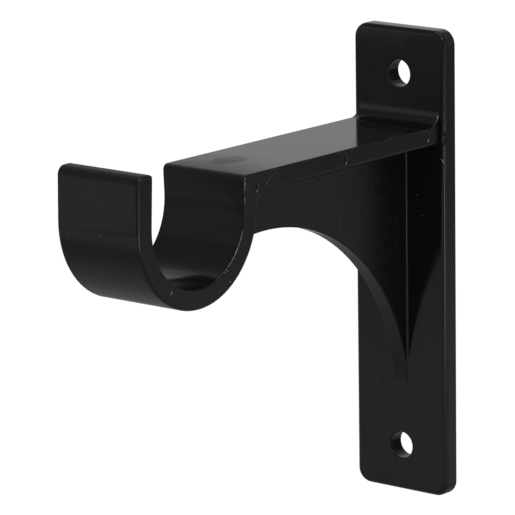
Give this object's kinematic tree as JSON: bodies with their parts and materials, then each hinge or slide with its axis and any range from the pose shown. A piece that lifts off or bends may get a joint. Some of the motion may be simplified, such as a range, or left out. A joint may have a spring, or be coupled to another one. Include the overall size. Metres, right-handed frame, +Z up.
{
  "type": "curtain pole bracket",
  "caption": "One-piece bracket that holds a round curtain pole off a wall: a tall screw plate, a T-section arm on an arched web, and an open cup with a raised front lip.",
  "frame": {"origin": "middle of the plate's flat back, on the wall plane, halfway between the screw holes", "axes": "+Y into the wall, so the arm reaches out along -Y; +Z up; X along the pole"},
  "size_m": [0.025, 0.1035, 0.1046],
  "materials": {
    "black_plastic": "semi-gloss as moulded, black through and through"
  },
  "bodies": {
    "root": {"bracket": "black_plastic"}
  },
  "joints": []
}
